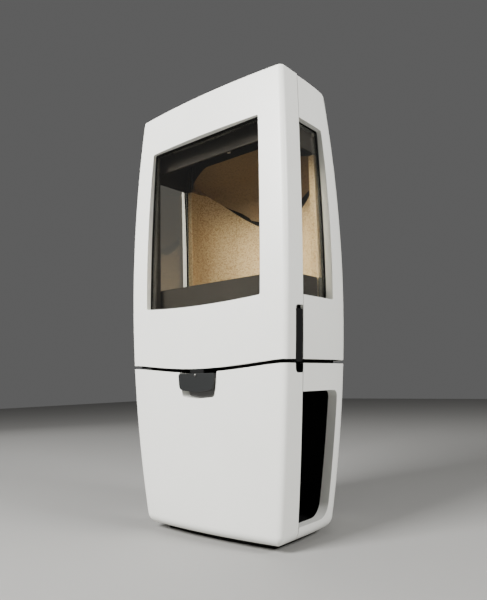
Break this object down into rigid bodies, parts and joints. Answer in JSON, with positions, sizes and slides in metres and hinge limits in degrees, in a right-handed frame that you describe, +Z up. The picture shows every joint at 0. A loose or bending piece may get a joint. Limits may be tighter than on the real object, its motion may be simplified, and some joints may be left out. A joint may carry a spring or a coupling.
{
  "type": "wood stove",
  "caption": "Free-standing wood stove in pale enamelled cast iron, barrel-shaped, with glass on the front and both sides, a tall hinged door, an air lever and an open log store below.",
  "frame": {"origin": "on the floor, at the middle of the base plate's underside, on the plane of symmetry", "axes": "+Z up, the door and the window face -Y, +X to the right seen from the front"},
  "size_m": [0.4688, 0.3702, 1.022],
  "materials": {
    "enamel": "satin",
    "cast_iron": "matte",
    "black_steel": "matte",
    "grey_steel": "satin",
    "bright_steel": "satin",
    "vermiculite": "matte",
    "rope": "matte",
    "glass": "gloss"
  },
  "bodies": {
    "stove": {"lower_front_panel": "enamel", "lower_side_right": "enamel", "lower_side_left": "enamel", "upper_side_right": "enamel", "upper_side_left": "enamel", "base_plate": "cast_iron", "air_box": "cast_iron", "hearth_base": "cast_iron", "hearth_plate": "cast_iron", "grate": "cast_iron", "front_frame": "cast_iron", "log_retainer": "cast_iron", "airwash_deflector": "cast_iron", "firebox_top": "cast_iron", "flue_collar": "cast_iron", "top_plate": "cast_iron", "rear_outlet_cover": "cast_iron", "lower_back_cover": "black_steel", "log_store_liner": "black_steel", "support_plate": "black_steel", "ash_box": "black_steel", "ash_pan": "black_steel", "side_frame_right": "black_steel", "side_frame_left": "black_steel", "firebox_casing": "black_steel", "rear_heat_shield": "black_steel", "air_control_plate": "grey_steel", "hinge_pin_lower": "bright_steel", "hinge_pin_upper": "bright_steel", "back_liner": "vermiculite", "side_liner_right": "vermiculite", "side_liner_left": "vermiculite", "baffle": "vermiculite", "side_glass_right": "glass", "side_glass_left": "glass"},
    "air_lever": {"air_slide_arm": "black_steel", "air_paddle": "grey_steel", "air_paddle_screw": "bright_steel"},
    "door": {"door_casting": "enamel", "door_glass": "glass", "door_glass_frame": "black_steel", "door_inner_frame": "cast_iron", "door_rope_seal": "rope", "hinge_arm_lower": "black_steel", "handle_pin": "bright_steel"},
    "handle": {"door_handle": "black_steel", "latch_tongue": "bright_steel"}
  },
  "joints": [
    {"name": "door_hinge", "type": "hinge", "parent": "stove", "child": "door", "pos_m": [-0.203, -0.062, 0.37], "axis": [0, 0, -1], "range_deg": [0, 100]},
    {"name": "handle_pivot", "type": "hinge", "parent": "door", "child": "handle", "pos_m": [0.22549, -0.125, 0.466], "axis": [0, -1, 0], "range_deg": [0, 25]},
    {"name": "air_slide", "type": "slide", "parent": "stove", "child": "air_lever", "axis": [1, 0, 0], "range_m": [-0.03, 0.03]}
  ]
}
